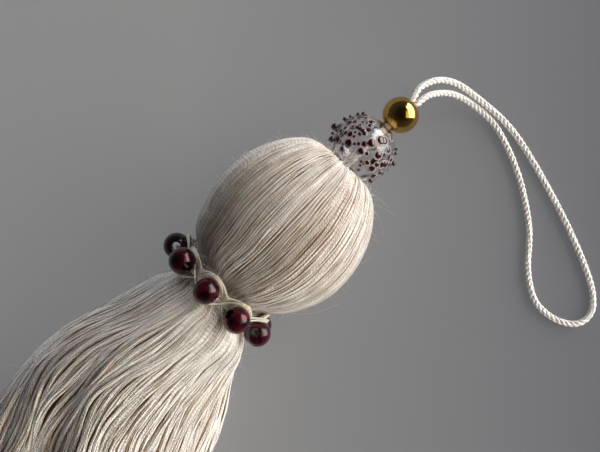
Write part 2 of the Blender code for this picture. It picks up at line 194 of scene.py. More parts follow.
def finish_tree(tree, shape, finish):
    """Makes the shape real, smooth and of one finish, and gives it as the tree's output."""
    real = add_node(tree, "GeometryNodeRealizeInstances", {"Geometry": shape})
    smooth = add_node(tree, "GeometryNodeSetShadeSmooth", {"Geometry": real, "Shade Smooth": True})
    finished = add_node(tree, "GeometryNodeSetMaterial", {"Geometry": smooth, "Material": finish})
    add_node(tree, "NodeGroupOutput", {"Piece": finished})
    return tree


def sweeping_tree():
    """Geometry Nodes that sweep a round section along each guide line and close its ends.

    UVMap holds the turn round the yarn, 0 to 1, and the millimetres along it.
    """
    inputs = (("Guides", "Geometry"), ("Sides", "Int"), ("Finish", "Material"))
    tree, given = start_tree("yarn along a guide", inputs)
    lines = add_node(tree, "GeometryNodeMeshToCurve", {"Mesh": given["Guides"]})
    spline = add_node(tree, "GeometryNodeSplineParameter").outputs
    along = add_node(tree, "GeometryNodeCaptureAttribute")
    along.capture_items.new("FLOAT", "Along")
    feed(tree, along, {"Geometry": lines, "Along": spline["Length"]})
    corners = add_node(tree, "ShaderNodeMath", {0: given["Sides"], 1: 1.0}, operation="ADD")
    round_section = {"Resolution": corners, "Radius": 1.0, "Sweep Angle": 2 * math.pi}
    section = add_node(tree, "GeometryNodeCurveArc", round_section, mode="RADIUS")
    turn = add_node(tree, "GeometryNodeCaptureAttribute")
    turn.capture_items.new("FLOAT", "Turn")
    feed(tree, turn, {"Geometry": section, "Turn": spline["Factor"]})
    thickness = add_node(tree, "GeometryNodeInputNamedAttribute", {"Name": "thickness"})
    guide = {"Curve": along, "Profile Curve": turn, "Scale": thickness.outputs["Attribute"]}
    swept = add_node(tree, "GeometryNodeCurveToMesh", guide)
    run = add_node(tree, "ShaderNodeMath", {0: along.outputs["Along"], 1: MM}, operation="DIVIDE")
    place = add_node(tree, "ShaderNodeCombineXYZ", {"X": turn.outputs["Turn"], "Y": run})
    mapped = add_node(
        tree,
        "GeometryNodeStoreNamedAttribute",
        {"Geometry": swept, "Name": "UVMap", "Value": place},
        data_type="FLOAT2",
        domain="CORNER",
    )
    closed = add_node(tree, "GeometryNodeMergeByDistance", {"Geometry": mapped, "Distance": 1e-7})
    return finish_tree(tree, closed, given["Finish"])


def store(mesh, title, values):
    """Keeps a number, or a direction, for each point of a mesh."""
    kind, part = ("FLOAT", "value") if values.ndim == 1 else ("FLOAT_VECTOR", "vector")
    column = mesh.attributes.new(title, kind, "POINT").data
    column.foreach_set(part, values.ravel().astype(np.float32))


def new_object(name, data):
    """An object with this data, put in the scene."""
    made = bpy.data.objects.new(name, data)
    bpy.context.scene.collection.objects.link(made)
    return made


def grown_piece(name, points, edges, stored, tree, inputs):
    """The piece that a tree makes from guide points, each with its own stored values."""
    guides = bpy.data.meshes.new(name)
    guides.from_pydata(points * MM, edges, [])
    for title, values in stored.items():
        store(guides, title, values)
    piece = new_object(name, guides)
    growth = piece.modifiers.new("growth", "NODES")
    growth.node_group = tree
    for socket in tree.interface.items_tree:
        if socket.name in inputs:
            growth[socket.identifier] = inputs[socket.name]
    solid = piece.evaluated_get(bpy.context.evaluated_depsgraph_get())
    piece.data = bpy.data.meshes.new_from_object(solid)
    piece.modifiers.remove(growth)
    piece.data.name = name
    return piece


SWEEPING = sweeping_tree()


def sweep_yarns(name, lines, radii, tones, sides, finish, closed=False):
    """A piece of round yarns: lines is (yarn, point, xyz), and radii one or (yarn, point), in mm."""
    lines = np.array(lines)
    radii = np.broadcast_to(radii, lines.shape[:2])
    tones = np.broadcast_to(np.reshape(tones, (len(lines), -1)), radii.shape)
    if not closed:
        first = lines[:, :1] - 0.05 * (lines[:, 1:2] - lines[:, :1])
        last = lines[:, -1:] + 0.05 * (lines[:, -1:] - lines[:, -2:-1])
        lines = np.concatenate([first, lines, last], axis=1)
        radii = np.pad(radii, ((0, 0), (1, 1)))
        tones = np.pad(tones, ((0, 0), (1, 1)), mode="edge")
    count, steps = lines.shape[:2]
    index = np.arange(count * steps).reshape(count, steps)
    edges = np.stack([index[:, :-1], index[:, 1:]], axis=-1).reshape(-1, 2)
    if closed:
        edges = np.concatenate([edges, np.stack([index[:, -1], index[:, 0]], axis=-1)])
    stored = {"thickness": radii.ravel() * MM, "tone": tones.ravel()}
    inputs = {"Sides": sides, "Finish": finish}
    piece = grown_piece(name, lines.reshape(-1, 3), edges, stored, SWEEPING, inputs)
    piece.data.attributes.remove(piece.data.attributes["thickness"])
    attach(piece, "root")
    return piece


def start_material(name, sockets):
    """A material whose shader has these values, with its tree and shader to build on."""
    material = bpy.data.materials.new(name)
    material.use_nodes = True
    shader = material.node_tree.nodes["Principled BSDF"]
    feed(material.node_tree, shader, sockets)
    return material, material.node_tree, shader


def let_lamps_through(tree, shader, colour):
    """Lets rays from lamps pass on in this colour, so that what is behind isn't black."""
    passing = add_node(tree, "ShaderNodeBsdfTransparent", {"Color": linear(colour)})
    shadow_ray = add_node(tree, "ShaderNodeLightPath").outputs["Is Shadow Ray"]
    mixed = add_node(tree, "ShaderNodeMixShader", {0: shadow_ray, 1: shader, 2: passing})
    feed(tree, tree.nodes["Material Output"], {"Surface": mixed})


def yarn_material(name, deep, pale, plies, pitch, relief, roughness, sheen):
    """Spun cotton: matt, with a soft nap that catches light, and each ply painted paler on its crown
    and darker in its groove, a painted highlight and shade.

    plies and pitch (mm) are those of the twist; the tone attribute is each yarn's shade, which on the
    bundle's threads also holds painted light and shade.
    Thin cotton lets part of the light through, which keeps the gaps warm.
    """
    matt = {"Roughness": roughness, "Specular IOR Level": 0.25}
    nap = {"Sheen Weight": sheen, "Sheen Roughness": 0.45}
    material, tree, shader = start_material(name, matt | nap)
    uv = add_node(tree, "ShaderNodeUVMap", uv_map="UVMap")
    split = add_node(tree, "ShaderNodeSeparateXYZ", {0: uv}).outputs
    advance = add_node(tree, "ShaderNodeMath", {0: split["Y"], 1: pitch}, operation="DIVIDE")
    wound = {0: split["X"], 1: float(plies), 2: advance}
    strand = add_node(tree, "ShaderNodeMath", wound, operation="MULTIPLY_ADD")
    phase = add_node(tree, "ShaderNodeMath", {0: strand, 1: 2 * math.pi}, operation="MULTIPLY")
    ply = add_node(tree, "ShaderNodeMath", {0: phase}, operation="SINE")
    # Slubs and soil: uneven shade every few millimetres, over the whole bundle.
    place = add_node(tree, "ShaderNodeTexCoord").outputs["Object"]
    slubs = {"Vector": place, "Scale": 1 / (4 * MM), "Detail": 6.0, "Roughness": 0.72}
    patch = add_node(tree, "ShaderNodeTexNoise", slubs)
    uneven = add_node(tree, "ShaderNodeMath", {0: patch, 1: 1.3, 2: -0.65}, operation="MULTIPLY_ADD")
    # Painted highlight and shade: each ply's crown is paler and its groove darker.
    shade = add_node(tree, "ShaderNodeMath", {0: ply, 1: 0.20, 2: uneven}, operation="MULTIPLY_ADD")
    tone = add_node(tree, "ShaderNodeAttribute", attribute_name="tone").outputs["Fac"]
    summed = add_node(tree, "ShaderNodeMath", {0: tone, 1: shade}, operation="ADD", use_clamp=True)
    shades = {"Factor": summed, 6: linear(deep), 7: linear(pale)}
    colour = add_node(tree, "ShaderNodeMix", shades, data_type="RGBA").outputs[2]
    twist = {"Height": ply, "Distance": relief * MM, "Strength": 0.6}
    feed(tree, shader, {"Base Color": colour, "Normal": add_node(tree, "ShaderNodeBump", twist)})
    let_lamps_through(tree, shader, "#beab98")
    return material


route_places = np.linspace(0, len(LOOP_ROUTE) - 1, 2400)
cord_line = even_line(smooth_rows(LOOP_ROUTE, route_places) / MM, STRAND_STEP)
cord_frames = carried_frames(cord_line)
cord_run = np.arange(len(cord_line)) * STRAND_STEP
cord_to_mouth = np.minimum(cord_run, cord_run[-1] - cord_run)
cord_full = MOUTH_SHARE + (1 - MOUTH_SHARE) * smoothstep(0.0, MOUTH_LENGTH, cord_to_mouth)
strands = []
for strand in range(STRANDS):
    turn = 2 * math.pi * (strand / STRANDS - cord_run / CORD_LAY)
    reach = (CORD_DIAMETER / 2 - STRAND_RADIUS) * cord_full
    strands.append(offset_line(cord_line, cord_frames, turn, reach))
COTTON_CORD = yarn_material("soft laid cotton cord", "#cdc5bd", "#f8f5f1", 3, 1.5, 0.12, 0.85, 0.2)
strand_radii = STRAND_RADIUS * cord_full
strand_tones = [0.55, 0.7, 0.62]
hanging_cord = sweep_yarns("hanging_cord", strands, strand_radii, strand_tones, 8, COTTON_CORD)
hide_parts("hang_loop")


# Head and skirt threads. The same soft cotton threads are laid over the core, tied
# under the head and cut at the hem. They crowd over each other where they are tied,
# and in the skirt they part into wavy locks that settle on the floor.
# along, radius: half the outline of the head, from its dimple to the neck
HEAD_PROFILE = (
    (20.7, 1.9),
    (21.2, 3.2),
    (23.2, 6.8),
    (23.8, 9.0),
    (22.7, 12.2),
    (19.9, 15.4),
    (15.6, 18.5),
    (9.8, 21.1),
    (3.0, 22.5),
    (-4.2, 22.3),
    (-10.8, 20.4),
    (-15.4, 18.2),
    (-18.0, 16.1),
    (-19.6, 14.0),
    (-21.4, 12.5),
    (-23.6, 12.2),
    (-27.6, 12.4),
)
# along, aside, height: the centre line of the head and neck
CENTRE_LINE = (
    (24.0, 0.0, 21.8),
    (-8.0, 0.0, 21.8),
    (-20.5, 1.5, 21.3),
    (-25.1, 1.8, 21.1),
    (-31.0, 1.4, 20.6),
)
TILT_STARTS, TILT_FULL = -8.0, -21.0
TILT_OVER_TOP, TILT_OVER_SIDE = 0.9, 1.0
NECK_RING = 16.85
# along, aside, turn (degrees), half width, underside, top, and how far the outer
# side bulges out and the inner side draws in
SKIRT = (
    (-31.0, 1.2, -3.0, 13.8, 7.0, 34.6, 0.0, -1.0),
    (-37.0, 0.7, 1.0, 17.2, 3.0, 35.8, 0.4, 0.2),
    (-45.0, -0.7, 5.0, 21.0, 0.6, 35.6, 1.6, 2.6),
    (-57.0, -2.6, 9.0, 25.5, 0.0, 34.3, 3.3, 3.6),
    (-72.0, -5.8, 13.0, 31.0, 0.0, 32.0, 4.0, 5.4),
    (-88.0, -10.0, 17.0, 34.5, 0.0, 28.5, 4.6, 5.0),
    (-104.0, -15.5, 21.0, 36.5, 0.0, 24.4, 4.0, 3.2),
    (-119.0, -21.8, 24.0, 38.0, 0.0, 20.6, 3.0, 2.0),
    (-133.0, -28.5, 26.0, 39.0, 0.0, 17.0, 2.0, 1.0),
)
LAST_ROW = len(SKIRT) - 1
LANDED_ROW, WAVE_AT_TIP = 3.0, 1.6
CREST_SHIFT, INNER_SLOPE = 0.30, 0.4
RAGGED_ROWS, OUTER_BEND_ROWS = 0.45, 1.1
# share of the way round, its change per row, half width, depth, row where it starts
HOLLOWS = (
    (0.888, 0.003, 0.120, 0.22, 2.4),
    (0.960, 0.002, 0.064, 0.28, 2.4),
    (0.862, 0.002, 0.026, 0.06, 2.2),
    (0.110, 0.003, 0.022, 0.06, 2.6),
    (0.190, -0.002, 0.034, 0.08, 1.8),
    (0.800, 0.003, 0.035, 0.09, 2.2),
    (0.310, 0.000, 0.030, 0.08, 2.0),
    (0.700, 0.000, 0.030, 0.08, 2.4),
)
HOLLOW_ROWS = 4.2
# A station is a row of the head's table, and from SKIRT_START on a row of the skirt's.
SKIRT_START = len(HEAD_PROFILE)
LAST_STATION = SKIRT_START + LAST_ROW
THREAD_RADIUS, LEAST_HEIGHT = 0.225, 0.24
random = np.random.default_rng(1907)


def centre_at(along):
    """Aside and height of the centre line at each distance along the head."""
    aside = np.full(np.shape(along), CENTRE_LINE[0][1])
    height = np.full(np.shape(along), CENTRE_LINE[0][2])
    for (x0, y0, z0), (x1, y1, z1) in zip(CENTRE_LINE, CENTRE_LINE[1:]):
        share = smoothstep(x0, x1, along)
        aside = aside + (y1 - y0) * share
        height = height + (z1 - z0) * share
    return aside, height


def tilt_at(angle, radius):
    """How far the tied neck leans along the head at this angle round it."""
    lean = TILT_OVER_TOP * np.cos(angle) + TILT_OVER_SIDE * np.sin(angle)
    return -lean * radius / NECK_RING


def head_surface(round_share, station):
    """Points of the head; the share runs round it from the top towards -Y."""
    angle = 2 * math.pi * round_share
    along, radius = np.moveaxis(smooth_rows(HEAD_PROFILE, station), -1, 0)
    aside, height = centre_at(along)
    along = along + smoothstep(TILT_STARTS, TILT_FULL, along) * tilt_at(angle, radius)
    return np.stack([along, aside - radius * np.sin(angle), height + radius * np.cos(angle)], -1)


def skirt_section(side_share, high_share, place, hollow=0.0):
    """Points of the skirt; the two shares run over a unit disc in each section."""
    row = np.moveaxis(smooth_rows(SKIRT, place), -1, 0)
    along, aside, turn, half_width, underside, top, bulge, tuck = row
    turn = np.radians(turn)
    sunk = 1 - np.sqrt(1 - np.minimum(side_share**2, 1.0))
    high = (high_share + 1 - smoothstep(0.0, LANDED_ROW, place) * sunk) / 2
    landed = smoothstep(1.0, 4.0, place)
    slope = 1 + INNER_SLOPE * landed * smoothstep(0.1, -0.5, side_share)
    high = np.maximum(high, 0.0) ** slope * (1 - hollow)
    crest = CREST_SHIFT * smoothstep(0.0, 4.0, place) * np.maximum(high_share, 0.0) ** 1.5
    side = (side_share + crest) * half_width + bulge * ((side_share + 1) / 2) ** 2
    side = side + tuck * ((1 - side_share) / 2) ** 2
    wave = WAVE_AT_TIP * place / LAST_ROW
    side = side + wave * np.sin(1.9 * place + 1.3 * side_share + 0.8 * high_share)
    height = underside + high * (top - underside)
    return np.stack([along - side * np.sin(turn), aside + side * np.cos(turn), height], -1)


def disc_section(angle, depth, place, hollow):
    """Points of the skirt at an angle round the disc and a share of the way out from its middle."""
    return skirt_section(-depth * np.sin(angle), depth * np.cos(angle), place, hollow)


DISC_STEPS, PARTS_OF_ROW = 720, 10


def perimeter_table():
    """Disc angle for each share of the way round from underneath, at each part of a row."""
    angles = np.linspace(math.pi, 3 * math.pi, DISC_STEPS + 1)
    shares = np.linspace(0.0, 1.0, DISC_STEPS + 1)
    table = []
    for place in np.linspace(0.0, LAST_ROW, LAST_ROW * PARTS_OF_ROW + 1):
        edge = disc_section(angles, 1.0, np.full(DISC_STEPS + 1, place), 0.0)
        run = run_along(edge)
        table.append(np.interp(shares, run / run[-1], angles))
    return np.array(table)


PERIMETER_ANGLES = perimeter_table()


def skirt_angle(round_share, place):
    """Disc angle of each share of the way round, read between the table's rows."""
    row = np.clip(place, 0.0, LAST_ROW) * PARTS_OF_ROW
    low = np.minimum(row.astype(int), LAST_ROW * PARTS_OF_ROW - 1)
    column = ((round_share - 0.5) % 1.0) * DISC_STEPS
    left = np.minimum(column.astype(int), DISC_STEPS - 1)
    down, across = row - low, column - left
    near, far = (
        PERIMETER_ANGLES[level, left] * (1 - across) + PERIMETER_ANGLES[level, left + 1] * across
        for level in (low, low + 1)
    )
    return near * (1 - down) + far * down


def hollow_at(round_share, place):
    """How far the skirt sinks between its large locks, as a share of its height."""
    total = np.zeros(np.broadcast(round_share, place).shape)
    for share, drift, half_width, depth, start in HOLLOWS:
        off = (round_share - share - drift * place + 0.5) % 1.0 - 0.5
        near = np.clip(np.abs(off) / half_width, 0.0, 1.0)
        deepens = smoothstep(start, start + HOLLOW_ROWS, place)
        total = total + depth * (np.cos(near * math.pi / 2) ** 2 * deepens)
    return total


def bundle_surface(round_share, station):
    """Points on the outside of the bundle, from the dimple on the head to the hem."""
    round_share, station = np.broadcast_arrays(round_share, station)
    head = head_surface(round_share, np.minimum(station, SKIRT_START - 1))
    place = np.maximum(station - SKIRT_START, 0.0)
    angle = skirt_angle(round_share, place)
    skirt = disc_section(angle, 1.0, place, hollow_at(round_share, place))
    passed = np.clip(station - (SKIRT_START - 1), 0.0, 1.0)[..., None]
    return head * (1 - passed) + skirt * passed


def outward_at(round_share, station):
    """Unit direction out of the bundle, and the length of one whole turn there."""
    nudge, step = 1e-3, 0.02
    across = bundle_surface(round_share + nudge, station)
    across = across - bundle_surface(round_share - nudge, station)
    ahead = bundle_surface(round_share, station + step)
    ahead = ahead - bundle_surface(round_share, station - step)
    return unit(np.cross(ahead, across)), np.linalg.norm(across, axis=-1) / (2 * nudge)


def wander(run, waves, owners, draws):
    """Smooth wandering in mm along each thread: waves are (length, size) rows in mm."""
    total = np.zeros_like(run)
    for length, size in waves:
        phases = draws.uniform(0, 2 * math.pi, owners.max() + 1)[owners]
        sizes = draws.uniform(0.4, 1.3, owners.max() + 1)[owners] * size
        stretch = draws.uniform(0.8, 1.25, owners.max() + 1)[owners]
        turn = 2 * math.pi * run * stretch[:, None] / length + phases[:, None]
        total = total + sizes[:, None] * np.sin(turn)
    return total


TABLE_STATIONS = np.linspace(0, LAST_STATION, 260)
RUN_AT_STATION = run_along(bundle_surface(0.0, TABLE_STATIONS))


def hem_station(round_share, raggedness):
    """Where each thread is cut: those round the outside of the bend end sooner."""
    side_share = -np.sin(skirt_angle(round_share, np.full(round_share.shape, LAST_ROW - 1.0)))
    sooner = OUTER_BEND_ROWS * (side_share + 1) / 2
    return LAST_STATION - RAGGED_ROWS * raggedness - sooner


HEAD_RIDGES, SKIRT_LOCKS = 124, 92
# Waves that neighbouring threads share: length, size, and how often they change
# phase on the way round
SHARED_WAVES = ((58.0, 0.9, 3), (33.0, 0.40, 5), (19.0, 0.14, 9))
SHARED_PHASES = random.uniform(0, 2 * math.pi, (len(SHARED_WAVES), 3))
# The threads of a lock swing together, and each has a little play of its own: lengths and
# sizes of the waves to the side, and of those in and out.
HEAD_SWAY, LOCK_SWAY = ((46.0, 0.17), (15.0, 0.11)), ((52.0, 0.38), (25.0, 0.18), (14.0, 0.06))
OWN_SWAY = ((27.0, 0.15), (12.0, 0.10), (7.0, 0.04))
LOCK_SWELL, OWN_SWELL, HEAD_SWELL = ((55.0, 0.45), (27.0, 0.2)), ((21.0, 0.16),), ((21.0, 0.06),)
LOCK_PULL, LOCK_SEED = ((62.0, 1.4), (37.0, 1.0)), 57


def shared_waves(run, round_share):
    """Wandering in mm that changes slowly from a thread to those beside it."""
    total = np.zeros_like(run)
    for (length, size, turns), phases in zip(SHARED_WAVES, SHARED_PHASES):
        once = 2 * math.pi * round_share[:, None]
        phase = 2 * math.pi * run / length + phases[0]
        phase = phase + 1.7 * np.sin(turns * once + phases[1])
        phase = phase + 1.2 * np.sin((2 * turns + 3) * once + phases[2])
        total = total + size * np.sin(phase)
    return total


def laid_threads(round_share, stations, depth):
    """Thread lines on the bundle, drawn into ridges on the head and wavy locks below."""
    owners = np.arange(len(round_share))
    shares = np.broadcast_to(round_share[:, None], stations.shape)
    run = np.interp(stations, TABLE_STATIONS, RUN_AT_STATION)
    out, around = outward_at(shares, stations)
    on_skirt = smoothstep(SKIRT_START - 0.5, SKIRT_START + 3.0, stations)
    near_crown = 1 - smoothstep(1.5, 8.0, stations)
    ridge = np.round(round_share * HEAD_RIDGES) / HEAD_RIDGES
    off_ridge = (round_share - ridge) * HEAD_RIDGES
    lock = np.floor(round_share * SKIRT_LOCKS).astype(int) % SKIRT_LOCKS
    lock_middle = (lock + 0.5) / SKIRT_LOCKS
    draws = np.random.default_rng(LOCK_SEED)
    pull_ridge = (0.10 + 0.07 * near_crown) * (1 - on_skirt)
    parted = 0.65 + 0.35 * smoothstep(SKIRT_START + 1.0, SKIRT_START + 5.5, stations)
    pull_lock = np.clip(0.26 + 0.10 * wander(run, LOCK_PULL, lock, draws), 0, 0.72)
    shift = (ridge - round_share)[:, None] * pull_ridge
    shift = shift + (lock_middle - round_share)[:, None] * (on_skirt * parted * pull_lock)
    sway = (1 - on_skirt) * wander(run, HEAD_SWAY, owners, random)
    sway = sway + on_skirt * shared_waves(run, round_share)
    sway = sway + on_skirt * parted * wander(run, LOCK_SWAY, lock, draws)
    sway = sway + on_skirt * wander(run, OWN_SWAY, owners, random)
    crowd = np.clip(2 * THREAD_RADIUS * len(round_share) / around - 0.9, 0.0, 2.2)
    sink = depth[:, None] * (crowd * 0.40 + on_skirt * 0.65)
    swell = on_skirt * parted * wander(run, LOCK_SWELL, lock, draws)
    swell = swell + on_skirt * wander(run, OWN_SWELL, owners, random)
    off_lock = np.abs(2 * (round_share * SKIRT_LOCKS % 1.0) - 1)[:, None]
    swell = swell + 0.26 * on_skirt * parted * (1 - off_lock**2)
    swell = swell + 0.07 * (1 - on_skirt) * (1 - np.abs(2 * off_ridge[:, None]) ** 2)
    swell = swell + wander(run, HEAD_SWELL, owners, random)
    points = bundle_surface(shares + shift + sway / around, stations)
    middle = skirt_section(0.0, -0.3, np.maximum(stations - SKIRT_START, 0.0))
    out = out + (unit(points - middle) - out) * on_skirt[..., None]
    points = points + out * (swell - sink)[..., None]
    points[..., 2] = np.maximum(points[..., 2], LEAST_HEIGHT)
    return points


def looseness(stations):
    """0 where the threads are tied and 1 where they hang free."""
    return smoothstep(SKIRT_START - 2.0, SKIRT_START + 3.0, stations)


def loosened(stations, radius):
    """Radius of each thread along it: its own, and a little less where it hangs free."""
    own = random.uniform(0.85, 1.12, (len(stations), 1))
    return radius * own * (1 - 0.08 * looseness(stations))


def thread_tones(round_share, stations, least, most):
    """Each thread's tone: its own shade at random, paler in the middle of a ridge or lock and darker at
    their edges as painted highlight and shade, and paler where it hangs loose as painted light.
    """
    own = random.uniform(least, most, (len(stations), 1))
    loose = looseness(stations)
    off_ridge = np.abs(2 * ((round_share * HEAD_RIDGES + 0.5) % 1.0) - 1)[:, None]
    off_lock = np.abs(2 * (round_share * SKIRT_LOCKS % 1.0) - 1)[:, None]
    edge = off_ridge * (1 - loose) + off_lock * loose
    return own + 0.34 * loose + (0.18 + 0.36 * loose) * (0.5 - edge)


def thread_piece(name, shares, stations, depth, tones, sides, cotton, lowered=0.0):
    """A piece of threads laid on the bundle, or by that much beneath its outside."""
    lines = laid_threads(shares, stations, depth)
    if lowered:
        out, _ = outward_at(np.broadcast_to(shares[:, None], stations.shape), stations)
        lines = lines - out * lowered
    radii = loosened(stations, THREAD_RADIUS)
    piece = sweep_yarns(name, lines, radii, thread_tones(shares, stations, *tones), sides, cotton)
    return piece


def cut_stations(shares, start, steps):
    """Stations of each thread from the start to its own cut end."""
    hem = hem_station(shares, random.uniform(0, 1, len(shares)))
    return start + steps * (hem - start)[:, None]


# Unbleached cotton keeps a warm cast. The threads beneath take a darker, warmer copy of it, painted
# shade for where threads shade each other.
COTTON_THREAD = yarn_material(
    "soft unbleached cotton thread", "#b3a290", "#fdf9f2", 2, 1.1, 0.05, 0.8, 0.08
)
PAINTED_SHADE_COTTON = yarn_material(
    "unbleached cotton in painted shade", "#b8946c", "#f3e2c8", 2, 1.1, 0.05, 0.85, 0.05
)
LONG_THREADS, LONG_SKIRT_POINTS = 300, 56
share = (np.arange(LONG_THREADS) + random.uniform(-0.36, 0.36, LONG_THREADS)) / LONG_THREADS
head_steps = np.concatenate([np.linspace(0, 2, 5), np.linspace(2.4, SKIRT_START, 42)])
stations = cut_stations(share, SKIRT_START, np.linspace(0, 1, LONG_SKIRT_POINTS + 1)[1:])
stations = np.concatenate([np.tile(head_steps, (LONG_THREADS, 1)), stations], axis=1)
depth = random.uniform(0, 1, LONG_THREADS)
long_threads = thread_piece(
    "head_and_skirt_threads", share, stations, depth, (0.31, 0.73), 3, COTTON_THREAD
)
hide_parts("bundle")

UNDER_THREADS, UNDER_POINTS, UNDER_LOWERED = 220, 40, 0.32
share = (np.arange(UNDER_THREADS) + random.uniform(-0.4, 0.4, UNDER_THREADS)) / UNDER_THREADS
stations = np.tile(np.linspace(1.0, SKIRT_START + 0.4, UNDER_POINTS), (UNDER_THREADS, 1))
depth = 1.0 + random.uniform(0, 0.8, UNDER_THREADS)
thread_piece(
    "head_under_threads", share, stations, depth, (0.2, 0.8), 3, PAINTED_SHADE_COTTON, UNDER_LOWERED
)

# The skirt's other threads start under the neck binding and crowd over its top.
CROWDED_OVER_TOP, TUCKED_ROWS, SKIRT_POINTS = 0.45, 2.4, 62
for name, count, least, most, sides, cotton in (
    ("skirt_threads_outer", 330, 0.0, 0.6, 4, COTTON_THREAD),
    ("skirt_threads_inner", 400, 0.4, 1.3, 3, PAINTED_SHADE_COTTON),
):
    even = (np.arange(count) + random.uniform(-0.45, 0.45, count)) / count
    share = (even - CROWDED_OVER_TOP * np.sin(2 * math.pi * even) / (2 * math.pi)) % 1.0
    stations = cut_stations(share, SKIRT_START - TUCKED_ROWS, np.linspace(0, 1, SKIRT_POINTS))
    depth = random.uniform(least, most, count)
    thread_piece(name, share, stations, depth, (0.05, 1.05), sides, cotton)


def closed_solid(name, points, faces, finish):
    """A smooth piece from a closed mesh in mm, with its faces turned outwards."""
    mesh = bpy.data.meshes.new(name)
    mesh.from_pydata(points * MM, [], faces)
    shape = bmesh.new()
    shape.from_mesh(mesh)
    bmesh.ops.recalc_face_normals(shape, faces=shape.faces)
    shape.to_mesh(mesh)
    shape.free()
    mesh.shade_smooth()
    mesh.materials.append(finish)
    piece = new_object(name, mesh)
    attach(piece, "root")
    return piece


def mottled(tree, size, detail, deep, pale):
    """Patches of about this size in mm: their pattern, and their colour from deep to pale."""
    place = add_node(tree, "ShaderNodeTexCoord").outputs["Object"]
    noise = {"Vector": place, "Scale": 1 / (size * MM), "Detail": detail}
    pattern = add_node(tree, "ShaderNodeTexNoise", noise)
    shades = {"Factor": pattern, 6: linear(deep), 7: linear(pale)}
    return pattern, add_node(tree, "ShaderNodeMix", shades, data_type="RGBA").outputs[2]


def packed_cotton(name, deep, pale):
    """The close-packed threads inside the bundle, painted darker and browner than the outer ones as
    painted shade for the shade between them.
    """
    material, tree, shader = start_material(name, {"Roughness": 0.9})
    fibres, colour = mottled(tree, 0.9, 3.0, deep, pale)
    relief = {"Height": fibres, "Distance": 0.2 * MM, "Strength": 0.7}
    feed(tree, shader, {"Base Color": colour, "Normal": add_node(tree, "ShaderNodeBump", relief)})
    return material


CORE_SIDES, CORE_RINGS = 96, 60
CORE_INSET, CORE_DEPTH, CORE_LIFT = 1.2, 0.9, 0.4
around = np.linspace(0, 1, CORE_SIDES, endpoint=False)
rings = []
for station in np.linspace(1.2, SKIRT_START + 6.2, CORE_RINGS):
    level = np.full(CORE_SIDES, station)
    out, _ = outward_at(around, level)
    ring = bundle_surface(around, level) - out * CORE_INSET
    if station > SKIRT_START - 1:
        passed = min(station - SKIRT_START + 1, 1.0)
        place = np.maximum(level - SKIRT_START, 0.0)
        turned = skirt_angle(around, place)
        deep = disc_section(turned, CORE_DEPTH, place, hollow_at(around, place) + 0.06)
        ring = ring * (1 - passed) + deep * passed
    ring[:, 2] = np.maximum(ring[:, 2], LEAST_HEIGHT + CORE_LIFT)
    rings.append(ring)
index = np.arange(CORE_RINGS * CORE_SIDES).reshape(CORE_RINGS, CORE_SIDES)
beside = np.roll(index, -1, axis=1)
quads = np.stack([index[:-1], beside[:-1], beside[1:], index[1:]], axis=-1).reshape(-1, 4)
# The first and last rings each close on a pole.
caps = [
    (near, far, index.size + pole)
    for pole, row in enumerate((0, -1))
    for near, far in zip(index[row].tolist(), beside[row].tolist())
]
poles = [rings[0].mean(axis=0), rings[-1].mean(axis=0)]
# The core's browns are painted shade inside the bundle.
PACKED_COTTON_IN_PAINTED_SHADE = packed_cotton("packed cotton threads in painted shade", "#9d7f5e", "#d8bf9c")
thread_core = closed_solid(
    "thread_core", np.concatenate([*rings, poles]), quads.tolist() + caps, PACKED_COTTON_IN_PAINTED_SHADE
)

# The cut ends fill the hem from its outside to near its middle.
HEM_THREADS, HEM_POINTS, HEM_ROWS = 900, 9, 2.3
HEM_DEPTH, HEM_RADIUS = 0.93, 0.2
share = random.uniform(0, 1, HEM_THREADS)
depth = HEM_DEPTH * np.sqrt(random.uniform(0, 1, HEM_THREADS))
end = hem_station(share, random.uniform(0, 1, HEM_THREADS)) - SKIRT_START
places = end[:, None] - HEM_ROWS * np.linspace(1, 0, HEM_POINTS)
round_hem = np.broadcast_to(share[:, None], places.shape)
angle = skirt_angle(round_hem, places)
lines = disc_section(angle, depth[:, None], places, hollow_at(round_hem, places) + 0.04)
run = run_along(lines)
owners = np.arange(HEM_THREADS)
lines[..., 1] += wander(run, ((22.0, 0.5), (9.0, 0.2)), owners, random)
lines[..., 2] += wander(run, ((19.0, 0.4), (8.0, 0.15)), owners, random)
lines[..., 2] = np.maximum(lines[..., 2], LEAST_HEIGHT)
radii = loosened(places + SKIRT_START, HEM_RADIUS)
# The hem threads are set pale as painted light, to match the loose skirt threads.
tones = random.uniform(0.5, 1.15, HEM_THREADS)
hem_threads = sweep_yarns("hem_threads", lines, radii, tones, 3, COTTON_THREAD)


# Flyaway fibres. Single cotton fibres that have worked loose from the threads and
# stand off the bundle, most of them a few millimetres long and curled.
FLYAWAYS, FLY_POINTS, FLY_RADIUS = 2000, 7, 0.022
share = random.uniform(0, 1, FLYAWAYS)
station = random.uniform(2.0, LAST_STATION - 1.4, FLYAWAYS)
root = bundle_surface(share, station)
out, _ = outward_at(share, station)
ahead = unit(bundle_surface(share, station + 0.05) - root)
length = random.gamma(1.9, 0.75, FLYAWAYS)[:, None]
way = ahead * random.normal(0.0, 0.9, (FLYAWAYS, 1))
way = way + np.cross(ahead, out) * random.normal(0.0, 0.7, (FLYAWAYS, 1))
curl = random.normal(0.0, 0.35, (FLYAWAYS, 3))
lines = []
for part in np.linspace(0.0, 1.0, FLY_POINTS):
    lift = 0.55 * math.sin(0.5 * math.pi * part)
    spread = out * (lift + 0.12) + way * part * 0.8 + curl * part * part
    lines.append(root + spread * length)
lines = np.stack(lines, axis=1)
lines[..., 2] = np.maximum(lines[..., 2], 0.1)
radii = FLY_RADIUS * np.linspace(1.1, 0.6, FLY_POINTS)
tones = random.uniform(0.5, 1.0, FLYAWAYS)
flyaways = sweep_yarns("flyaway_fibres", lines, radii, tones, 3, COTTON_THREAD)


